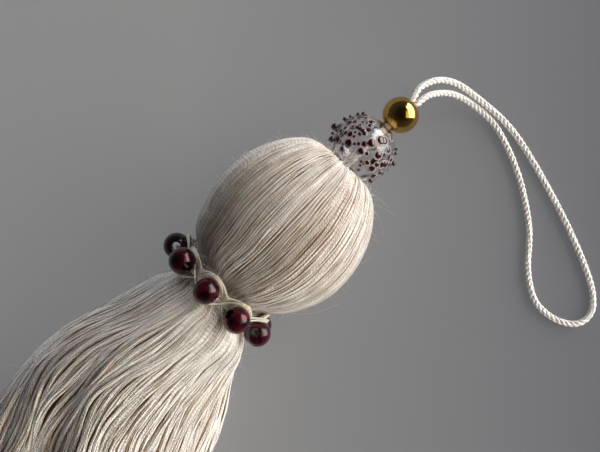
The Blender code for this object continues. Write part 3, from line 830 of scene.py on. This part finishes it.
# Neck binding. Fine cotton threads are wound twice round the tied neck in a figure of
# eight, so that each bead sits in an eye of the winding; they fan out over the head.
NECK = np.array([-25.1, 1.8, 21.1])
NECK_BEADS = 9
FIRST_BEAD_ANGLE = math.radians(-86)
HEAD_SWING, SKIRT_SWING = 4.3, 3.2
BINDING_RADIUS, BINDING_CLIMB, OVER_UNDER = 13.7, 2.9, 0.40
RIBBON_THREADS, RIBBON_WIDTH = 6, 1.0
FAN_THREADS, LEAST_DIP, MOST_DIP = 8, 0.48, 0.95
BINDING_STEPS, BINDING_THREAD_RADIUS = 540, 0.15
SHOULDER_ALONG, SHOULDER_RADIUS = np.array(HEAD_PROFILE)[::-1].T


def round_neck(along_offset, radius, angle):
    """Points on the leaning neck; the angle runs from straight up towards -Y."""
    along = along_offset + tilt_at(angle, radius)
    return NECK + np.stack([along, -radius * np.sin(angle), radius * np.cos(angle)], axis=-1)


def over_shoulder(across, radius, clear):
    """The radius, or that of the head there with this much to spare, if it is larger."""
    shoulder = np.interp(NECK[0] + across, SHOULDER_ALONG, SHOULDER_RADIUS)
    return np.maximum(radius, shoulder + clear)


turn = np.linspace(0, 4 * math.pi, BINDING_STEPS, endpoint=False)
swing = NECK_BEADS / 2 * turn
between_beads = FIRST_BEAD_ANGLE + math.pi / NECK_BEADS
on_head_side = np.sin(swing) > 0
at_bead = np.abs(np.sin(swing))
lines = []
for i in range(RIBBON_THREADS):
    spread = RIBBON_WIDTH * (i / (RIBBON_THREADS - 1) - 0.5) * (0.3 + 0.7 * at_bead)
    reach = np.where(on_head_side, HEAD_SWING + spread, -SKIRT_SWING + 0.5 * spread)
    across = reach * at_bead
    climb = np.where(on_head_side, BINDING_CLIMB, 0.35 * BINDING_CLIMB)
    radius = BINDING_RADIUS + climb * at_bead**2 + OVER_UNDER * np.cos(swing)
    radius = over_shoulder(across, radius, 0.35) + 0.16 * (i % 2)
    lines.append(round_neck(across, radius, between_beads + turn))
# The threads of the fans stay on the head side, and dip less and less between beads.
turn = np.linspace(0, 2 * math.pi, BINDING_STEPS, endpoint=False)
lift = np.sqrt(np.sin(NECK_BEADS / 2 * turn) ** 2 + 0.003)
for i in range(FAN_THREADS):
    dip = LEAST_DIP + (MOST_DIP - LEAST_DIP) * i / (FAN_THREADS - 1)
    across = (HEAD_SWING + 0.25) * (1 - dip * (1 - lift)) + 0.04 * np.sin(7 * turn + 2 * i)
    radius = BINDING_RADIUS + BINDING_CLIMB * (1 - dip * (1 - lift**2))
    radius = over_shoulder(across, radius - 0.4, 0.3) + 0.14 * (i % 2)
    lines.append(round_neck(across, radius, between_beads + turn))
BINDING_COTTON = yarn_material("fine binding cotton", "#dccaa8", "#fffaee", 2, 0.7, 0.03, 0.6, 0.15)
tones = random.uniform(0.3, 1.0, len(lines))
neck_threads = sweep_yarns(
    "neck_binding_threads", lines, BINDING_THREAD_RADIUS, tones, 4, BINDING_COTTON, closed=True
)
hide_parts("neck_binding")


# Neck beads. Nine turned wooden beads, stained and lacquered a dark burgundy, each
# with a hole along the ring, strung on one white thread that runs round the neck.
BEAD_RADIUS, BEAD_HALF_LENGTH, BEAD_BORE, BEAD_LIP = 3.75, 3.45, 1.30, 0.35
BEAD_ARC_POINTS, BEAD_STEPS = 22, 40
LIP_POINTS, BORE_POINTS = 6, 7
# how red each bead is, in order round the neck: its own stain, with painted shade that darkens the
# beads turned away from the lamp
BEAD_RED_AND_SHADE = (0.15, 0.45, 0.85, 1.2, 0.9, 0.8, 1.0, 0.6, 0.3)


def arc_outline(radius, half_length, mouth, count):
    """Half section of a rounded outside, as (along, radius) from one mouth to the other."""
    edge = math.asin(mouth / radius)
    arc = np.linspace(edge, math.pi - edge, count)
    return [(half_length * math.cos(a), radius * math.sin(a)) for a in arc]


def bead_outline(radius, half_length, bore, lip, count):
    """Half section of a bead: a round outside that rolls over a lip into a straight bore."""
    outside = arc_outline(radius, half_length, bore + lip, count)
    mouth = outside[0][0]
    corner = mouth + lip * half_length / radius * math.tan(math.asin((bore + lip) / radius))
    far = []
    for part in np.linspace(0.0, 1.0, LIP_POINTS)[1:]:
        along = (1 - part) ** 2 * mouth + 2 * part * (1 - part) * corner
        along = along + part**2 * (mouth - lip)
        far.append((-along, bore + lip * (1 - part) ** 2))
    near = [(-along, r) for along, r in reversed(far)]
    inside = [(along, bore) for along in np.linspace(far[-1][0], near[0][0], BORE_POINTS)[1:-1]]
    return outside + far + inside + near


def turned_bead(name, outline, steps, middle, axis, finish):
    """A closed outline of (along, radius) turned about an axis through the middle."""
    along, radius = np.array(outline).T
    turn = np.linspace(0, 2 * math.pi, steps, endpoint=False)
    level = np.broadcast_to(along, (steps, len(along)))
    rings = np.stack([level, np.outer(np.cos(turn), radius), np.outer(np.sin(turn), radius)], axis=-1)
    to_axis = np.array(Vector(axis).to_track_quat("X", "Z").to_matrix())
    points = (rings @ to_axis.T + np.array(middle)).reshape(-1, 3)
    index = np.arange(steps * len(along)).reshape(steps, len(along))
    right, up = np.roll(index, -1, axis=0), np.roll(index, -1, axis=1)
    faces = np.stack([index, right, np.roll(right, -1, axis=1), up], axis=-1).reshape(-1, 4)
    return closed_solid(name, points, faces, finish)


def lacquered_wood():
    """Turned wood under a dark red lacquer: deep colour, faint grain, a clear wet gloss.

    The red attribute is each bead's share of red: its own stain, with painted shade on the beads turned
    away from the lamp. It is 0 in the bore, which is left without lacquer and painted darkest, a
    painted shade in the hole.
    """
    gloss = {"Roughness": 0.27, "Coat Roughness": 0.10}
    material, tree, shader = start_material("burgundy lacquered wood", gloss)
    red = add_node(tree, "ShaderNodeAttribute", attribute_name="red").outputs["Fac"]
    for title, most in (("Metallic", 0.55), ("Coat Weight", 0.6)):
        lacquered = {"Value": red, "From Max": min(BEAD_RED_AND_SHADE), "To Max": most}
        feed(tree, shader, {title: add_node(tree, "ShaderNodeMapRange", lacquered)})
    place = add_node(tree, "ShaderNodeTexCoord").outputs["Object"]
    noise = {"Vector": place, "Scale": 1 / (2.8 * MM), "Detail": 4.0}
    grain = add_node(tree, "ShaderNodeTexNoise", noise)
    stain = {"Value": grain, "From Min": 0.38, "From Max": 0.62}
    stained = add_node(tree, "ShaderNodeMapRange", stain)
    depth = add_node(
        tree, "ShaderNodeMath", {0: stained, 1: red}, operation="MULTIPLY", use_clamp=True
    )
    shades = {"Factor": depth, 6: linear("#150307"), 7: linear("#640a1f")}
    colour = add_node(tree, "ShaderNodeMix", shades, data_type="RGBA").outputs[2]
    relief = {"Height": grain, "Distance": 0.15 * MM, "Strength": 0.35}
    bump = add_node(tree, "ShaderNodeBump", relief)
    feed(tree, shader, {"Base Color": colour, "Normal": bump, "Coat Normal": bump})
    return material


LACQUERED_WOOD = lacquered_wood()
neck_outline = bead_outline(BEAD_RADIUS, BEAD_HALF_LENGTH, BEAD_BORE, BEAD_LIP, BEAD_ARC_POINTS)
in_bore = np.array(neck_outline)[:, 1] < BEAD_BORE + 0.4 * BEAD_LIP
for i in range(NECK_BEADS):
    angle = FIRST_BEAD_ANGLE + 2 * math.pi * i / NECK_BEADS
    bead = turned_bead(
        f"lacquered_bead_{i + 1}",
        neck_outline,
        BEAD_STEPS,
        round_neck(0.0, NECK_RING, angle),
        (0, -math.cos(angle), -math.sin(angle)),
        LACQUERED_WOOD,
    )
    # The red values paint shade on the beads away from the lamp, and the darkest shade in the bore.
    store(bead.data, "red", np.tile(np.where(in_bore, 0.0, BEAD_RED_AND_SHADE[i]), BEAD_STEPS))
    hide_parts(f"neck_bead_{i + 1}")

# The string is two strands side by side, which sink between the beads.
STRING_STEPS, STRING_RADIUS, STRING_SINK, HALF_APART = 270, 0.10, 4.2, 0.16
turn = np.linspace(0, 2 * math.pi, STRING_STEPS, endpoint=False)
slack = 0.5 - 0.5 * np.cos(NECK_BEADS * turn)
radius = NECK_RING - STRING_SINK * slack + 0.06 * np.sin(31 * turn)
lines = [
    round_neck(side + 0.5 * side * slack, radius, FIRST_BEAD_ANGLE + turn)
    for side in (-HALF_APART, HALF_APART)
]
STRINGING_COTTON = yarn_material("white stringing thread", "#cfc8ba", "#f7f2e8", 2, 0.6, 0.02, 0.6, 0.1)
bead_string = sweep_yarns(
    "bead_stringing_thread", lines, STRING_RADIUS, [0.8, 0.9], 6, STRINGING_COTTON, closed=True
)
# One loose turn of the same thread ties the string down between two of the beads.
TIE_STEPS, TIE_RADIUS = 20, 0.13
tie_rows = (
    (-22.9, 11.4, 31.6),
    (-23.6, 10.5, 33.2),
    (-25.3, 8.8, 34.7),
    (-27.2, 6.8, 34.5),
    (-28.4, 5.9, 33.4),
)
tie_line = smooth_rows(tie_rows, np.linspace(0, len(tie_rows) - 1, TIE_STEPS))
string_tie = sweep_yarns("stringing_thread_tie", [tie_line], TIE_RADIUS, 0.95, 6, STRINGING_COTTON)


# Glass bead. A clear lampworked bead, blown hollow with a thin wall, and set with
# dots of dark red glass that were melted on and stand proud of it.
GLASS = np.array([31.3, -0.8, 20.6])
GLASS_RADIUS, GLASS_BORE, GLASS_WALL, INNER_BORE = 9.4, 1.5, 0.7, 1.75
BRASS = np.array([45.9, -2.2, 18.7])
STRUNG_AXIS = unit(BRASS - GLASS)
OUTER_ARC_POINTS, INNER_ARC_POINTS, GLASS_STEPS = 40, 36, 64
# along, aside, radius: the dots of the upper side, from the bead's centre
TOP_DOTS = (
    (-0.3, 9.0, 0.95),
    (-3.9, 8.1, 0.50),
    (-3.5, 6.8, 0.95),
    (-1.0, 7.7, 0.50),
    (2.8, 8.5, 0.60),
    (4.1, 7.8, 0.45),
    (5.9, 6.7, 0.60),
    (6.9, 5.7, 0.80),
    (6.4, 5.0, 0.60),
    (2.3, 7.5, 0.75),
    (3.4, 6.5, 0.60),
    (4.7, 4.7, 0.45),
    (3.5, 4.8, 0.40),
    (0.4, 7.3, 0.45),
    (1.9, 6.0, 0.40),
    (2.5, 4.9, 0.55),
    (2.7, 4.1, 0.55),
    (2.8, 3.2, 0.60),
    (2.5, 2.3, 0.60),
    (-0.7, 6.3, 0.50),
    (-0.2, 5.1, 0.70),
    (1.1, 4.4, 0.35),
    (0.0, 3.9, 0.40),
    (5.3, 2.6, 0.60),
    (6.4, 3.0, 0.80),
    (-2.4, 3.8, 0.95),
    (-1.5, 2.4, 0.40),
    (-0.7, 1.6, 0.45),
    (0.3, 0.4, 0.70),
    (0.9, 0.0, 0.55),
    (1.8, -0.8, 0.95),
    (4.2, -2.2, 1.05),
    (4.9, -3.0, 0.95),
    (7.0, -3.7, 0.80),
    (3.9, -5.5, 0.75),
    (-1.8, -0.2, 0.80),
    (-1.1, -1.9, 0.45),
    (-4.7, 4.0, 0.60),
    (-3.6, 4.7, 0.35),
    (0.8, -4.4, 0.95),
    (-2.8, -3.6, 0.60),
    (-3.7, -2.2, 0.40),
    (-4.6, -2.7, 0.40),
    (-1.3, -5.9, 0.65),
    (0.0, -7.0, 0.90),
    (0.6, -7.7, 0.80),
    (-3.0, -5.6, 0.90),
    (2.7, -7.8, 0.65),
    (2.8, -8.6, 0.60),
    (4.6, -7.4, 0.50),
    (1.8, -8.8, 0.60),
    (-2.1, -8.1, 0.60),
    (-4.0, -7.3, 0.85),
    (-1.6, -8.9, 0.50),
)
# The larger drops of the rim stand nearly free of the bead.
PROUD_DOTS = (
    (-0.9, 9.3, 1.05),
    (-4.1, 7.6, 0.90),
    (-4.5, 8.2, 0.42),
    (6.0, 7.2, 0.58),
    (7.0, 6.2, 0.62),
    (2.5, 9.0, 0.58),
    (4.1, 8.4, 0.45),
    (-1.5, 8.5, 0.50),
    (-2.7, 8.9, 0.40),
    (4.9, -7.4, 0.50),
    (2.6, -8.9, 0.66),
    (6.0, -6.9, 0.42),
    (-5.1, -7.5, 0.70),
)
UNDER_DOTS, ON_BORE = 44, 0.93
DOT_GROWTH, DOT_FLATNESS, DOT_SINK = 1.34, 0.56, 0.20
DROP_FLATNESS, DROP_SINK = 0.95, -0.55
RIM_GROWTH, RIM_FLATNESS, RIM_SINK = 1.22, 0.10, -0.02


def clear_glass():
    """Clear soda-lime glass, fire-polished: colourless, faintly grey, fully smooth."""
    clear = {"Base Color": linear("#fbfafa"), "Roughness": 0.0, "IOR": 1.5}
    material, tree, shader = start_material(
        "clear lampworked glass", clear | {"Transmission Weight": 1.0}
    )
    let_lamps_through(tree, shader, "#f6f4f4")
    return material


def dark_glass(name, thin, thick, gloss):
    """Dark red glass, nearly black where it is thick, with a melted, wet-looking skin."""
    wet = {"Roughness": gloss, "Coat Weight": 0.8, "Coat Roughness": 0.03}
    material, tree, shader = start_material(name, wet)
    _, colour = mottled(tree, 3, 2.0, thick, thin)
    feed(tree, shader, {"Base Color": colour})
    return material


def painted_light_rim_glass():
    """A pale rim where a dot has melted into the clear bead, its paleness painted light for the light
    that the clear glass bends there.
    """
    pale_rim = {"Base Color": linear("#c4b8b6"), "Roughness": 0.1, "Alpha": 0.42}
    return start_material("pale rim of painted light", pale_rim)[0]


def dotting_tree():
    """Geometry Nodes that melt one round dot onto the bead at each guide point."""
    inputs = (("Guides", "Geometry"), ("Flatness", "Float"), ("Finish", "Material"))
    tree, given = start_tree("dots on a bead", inputs)
    ball = add_node(tree, "GeometryNodeMeshUVSphere", {"Segments": 16, "Rings": 9, "Radius": 1.0})
    facing = add_node(
        tree, "GeometryNodeInputNamedAttribute", {"Name": "facing"}, data_type="FLOAT_VECTOR"
    )
    outward = {"Vector": facing.outputs["Attribute"]}
    turned = add_node(tree, "FunctionNodeAlignRotationToVector", outward, axis="Z")
    stored_size = add_node(tree, "GeometryNodeInputNamedAttribute", {"Name": "size"})
    size = stored_size.outputs["Attribute"]
    low = add_node(tree, "ShaderNodeMath", {0: size, 1: given["Flatness"]}, operation="MULTIPLY")
    scale = add_node(tree, "ShaderNodeCombineXYZ", {"X": size, "Y": size, "Z": low})
    spots = {"Points": given["Guides"], "Instance": ball, "Rotation": turned, "Scale": scale}
    placed = add_node(tree, "GeometryNodeInstanceOnPoints", spots)
    return finish_tree(tree, placed, given["Finish"])


DOTTING = dotting_tree()


def melt_dots(name, directions, sizes, sink, flatness, finish):
    """A piece of dots on the glass bead; sizes are radii in millimetres."""
    middles = GLASS + directions * (GLASS_RADIUS - sink * sizes[:, None])
    stored = {"facing": directions, "size": sizes * MM}
    inputs = {"Flatness": flatness, "Finish": finish}
    piece = grown_piece(name, middles, [], stored, DOTTING, inputs)
    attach(piece, "root")


def upper_dots(rows):
    """Directions from the bead's centre to dots on its upper side, and their radii."""
    along, aside, sizes = np.array(rows).T
    rise = np.sqrt(np.maximum(GLASS_RADIUS**2 - along**2 - aside**2, 0.0))
    return unit(np.column_stack([along, aside, rise])), sizes


# The blown wall: the outside, and the inside back again.
outside = arc_outline(GLASS_RADIUS, GLASS_RADIUS, GLASS_BORE, OUTER_ARC_POINTS)
inner_radius = GLASS_RADIUS - GLASS_WALL
inside = arc_outline(inner_radius, inner_radius, INNER_BORE, INNER_ARC_POINTS)
wall = outside + inside[::-1]
glass_body = turned_bead(
    "blown_glass_bead", wall, GLASS_STEPS, GLASS, STRUNG_AXIS, clear_glass()
)
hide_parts("glass_bead")

top_ways, top_sizes = upper_dots(TOP_DOTS)
# The dots underneath are spread evenly, and each is moved a little.
golden_turn = math.pi * (3 - math.sqrt(5))
order = np.arange(UNDER_DOTS)
drop = 0.05 + 0.93 * (order + 0.5) / UNDER_DOTS
level = np.sqrt(1 - drop**2)
under_ways = np.column_stack(
    [level * np.cos(golden_turn * order), level * np.sin(golden_turn * order), -drop]
)
under_ways = unit(under_ways + random.uniform(-0.07, 0.07, (UNDER_DOTS, 3)))
ways = np.concatenate([top_ways, under_ways])
dot_sizes = np.concatenate([top_sizes, random.uniform(0.4, 1.0, UNDER_DOTS)]) * DOT_GROWTH
off_bore = np.abs(ways @ STRUNG_AXIS) < ON_BORE
ways, dot_sizes = ways[off_bore], dot_sizes[off_bore]
drop_ways, drop_sizes = upper_dots(PROUD_DOTS)
DARK_GLASS = dark_glass("dark red melted glass", "#400d11", "#0d0203", 0.12)
melt_dots("glass_dots", ways, dot_sizes, DOT_SINK, DOT_FLATNESS, DARK_GLASS)
melt_dots("glass_drops", drop_ways, drop_sizes, DROP_SINK, DROP_FLATNESS, DARK_GLASS)
# Pale rims round the dots: painted light.
melt_dots("dot_rims", ways, dot_sizes * RIM_GROWTH, RIM_SINK, RIM_FLATNESS, painted_light_rim_glass())


# Core cord. The two ends of the hanging cord run side by side down through both
# beads and into the dimple on the head, where they are tied in with the threads.
CORE_STEPS, CORE_LEGS, LEGS_LAY = 90, 2, 60.0
FLUFF_START, FLUFF_LENGTH = 1.5, 17.2
core_start = np.array([21.3, 0.0, 21.8])
core_end = BRASS + STRUNG_AXIS * 2.8
core_line = core_start + np.linspace(0, 1, CORE_STEPS)[:, None] * (core_end - core_start)
core_frames = carried_frames(core_line)
core_run = np.linspace(0, np.linalg.norm(core_end - core_start), CORE_STEPS)
# Inside the hollow bead nothing presses the two ends together, and they fluff out.
fluff = np.sin(math.pi * np.clip((core_run - FLUFF_START) / FLUFF_LENGTH, 0.0, 1.0))
lines = []
for leg in range(CORE_LEGS):
    leg_turn = math.pi * leg + 0.25 + 2 * math.pi * core_run / LEGS_LAY
    leg_line = offset_line(core_line, core_frames, leg_turn, 0.60 + 0.45 * fluff)
    for strand in range(STRANDS):
        turn = 2 * math.pi * (strand / STRANDS - core_run / CORD_LAY)
        lines.append(offset_line(leg_line, core_frames, turn, 0.33 + 0.08 * fluff))
tones = [0.5, 0.6, 0.7, 0.6, 0.7, 0.5]
core_cord = sweep_yarns("core_cord_ends", lines, 0.36 + 0.10 * fluff, tones, 8, COTTON_CORD)
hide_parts("core_cord")


# Brass bead. A seamless polished brass ball, drilled through, that slides on the cord
# and holds its two legs together above the glass bead.
BRASS_RADIUS, BRASS_BORE, BRASS_LIP = 5.2, 1.55, 0.35
BRASS_ARC_POINTS, BRASS_STEPS = 46, 80


def polished_brass():
    """Polished cast brass: a warm mirror with faint hairline wear and a trace of haze."""
    material, tree, shader = start_material("polished brass", {"Metallic": 1.0})
    haze, colour = mottled(tree, 2, 6.0, "#bd8f40", "#e4bd6c")
    polish = add_node(tree, "ShaderNodeMapRange", {"Value": haze, "To Min": 0.05, "To Max": 0.17})
    feed(tree, shader, {"Roughness": polish, "Base Color": colour})
    return material


brass_outline = bead_outline(
    BRASS_RADIUS, BRASS_RADIUS, BRASS_BORE, BRASS_LIP, BRASS_ARC_POINTS
)
brass_bead = turned_bead(
    "polished_brass_bead", brass_outline, BRASS_STEPS, BRASS, STRUNG_AXIS, polished_brass()
)
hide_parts("brass_bead")


# Studio: a plain pale floor, a large soft lamp to the right and dim walls all round.
CAMERA_PLACE = (0.0034, -0.0028, 0.282)
CAMERA_TURN = math.radians(-47)
LENS, SENSOR = 55.7, 36.0
LAMPS_FACE = (0, 0, 0.02)
FLOOR_HALF = 1.5
camera_data = bpy.data.cameras.new("camera")
camera_data.lens = LENS
camera_data.sensor_width = SENSOR
camera_data.clip_start = 0.01
camera = new_object("camera", camera_data)
camera.location = CAMERA_PLACE
camera.rotation_euler = (0, 0, CAMERA_TURN)
bpy.context.scene.camera = camera
bpy.context.scene.view_settings.view_transform = "Standard"


def soft_lamp(name, place, size, power, colour, mirrored=True):
    """A rectangular lamp that faces the tassel; it may be left out of reflections."""
    data = bpy.data.lights.new(name, "AREA")
    data.shape = "RECTANGLE"
    data.size, data.size_y = size
    data.energy = power
    data.color = linear(colour)[:3]
    lamp = new_object(name, data)
    lamp.location = place
    lamp.rotation_mode = "QUATERNION"
    lamp.rotation_quaternion = (Vector(LAMPS_FACE) - Vector(place)).to_track_quat("-Z", "Y")
    lamp.visible_glossy = lamp.visible_transmission = mirrored


soft_lamp("window", (0.731, -0.372, 0.32), (1.1, 0.7), 12.3, "#fffbf8")
soft_lamp("lit wall", (0.38, -0.41, 0.59), (0.55, 0.40), 0.9, "#f1e6cc")
soft_lamp("pane", (0.89, 0.016, 0.14), (0.30, 0.20), 1.4, "#e4ecff")
soft_lamp("near fill", (-0.30, -0.80, 0.30), (1.2, 0.4), 6.0, "#f8f4ef", False)
soft_lamp("far fill", (0.50, 0.68, 0.30), (1.1, 0.4), 3.4, "#e8edf5", False)
world = bpy.data.worlds.new("room")
world.use_nodes = True
room = world.node_tree
toward = add_node(room, "ShaderNodeTexCoord").outputs["Generated"]
upward = add_node(room, "ShaderNodeSeparateXYZ", {0: toward}).outputs["Z"]
# The ceiling is dark, and the walls give the weak light that fills the shadows.
weaker = {"Value": upward, "From Min": 0.15, "From Max": 0.9, "To Min": 0.24, "To Max": 0.05}
walls = add_node(room, "ShaderNodeMapRange", weaker)
feed(room, room.nodes["Background"], {"Color": linear("#8d9299"), "Strength": walls})
bpy.context.scene.world = world


def floor_paper():
    """Matt paper, painted darker towards the window as painted shade.

    Some of its light comes from itself, which keeps the shadows on it faint.
    """
    matt = {"Roughness": 0.9, "Emission Strength": 1.0}
    material, tree, shader = start_material("pale matt floor", matt)
    place = add_node(tree, "ShaderNodeTexCoord").outputs["Object"]
    turn = {"Vector": place, "Rotation": (0, 0, CAMERA_TURN)}
    turned = add_node(tree, "ShaderNodeMapping", turn, vector_type="TEXTURE")
    across = add_node(tree, "ShaderNodeSeparateXYZ", {0: turned}).outputs["X"]
    # Painted shade: the floor grows darker towards the window.
    fading = {"Value": across, "From Min": -0.03, "From Max": 0.11}
    fade = add_node(tree, "ShaderNodeMapRange", fading)
    shades = {"Factor": fade, 6: linear("#6b6b6b"), 7: linear("#494a4e")}
    colour = add_node(tree, "ShaderNodeMix", shades, data_type="RGBA").outputs[2]
    feed(tree, shader, {"Base Color": colour, "Emission Color": colour})
    return material


floor_mesh = bpy.data.meshes.new("floor")
corners = [(x * FLOOR_HALF, y * FLOOR_HALF, 0) for x, y in ((-1, -1), (1, -1), (1, 1), (-1, 1))]
floor_mesh.from_pydata(corners, [], [(0, 1, 2, 3)])
floor_mesh.materials.append(floor_paper())
floor = new_object("floor", floor_mesh)
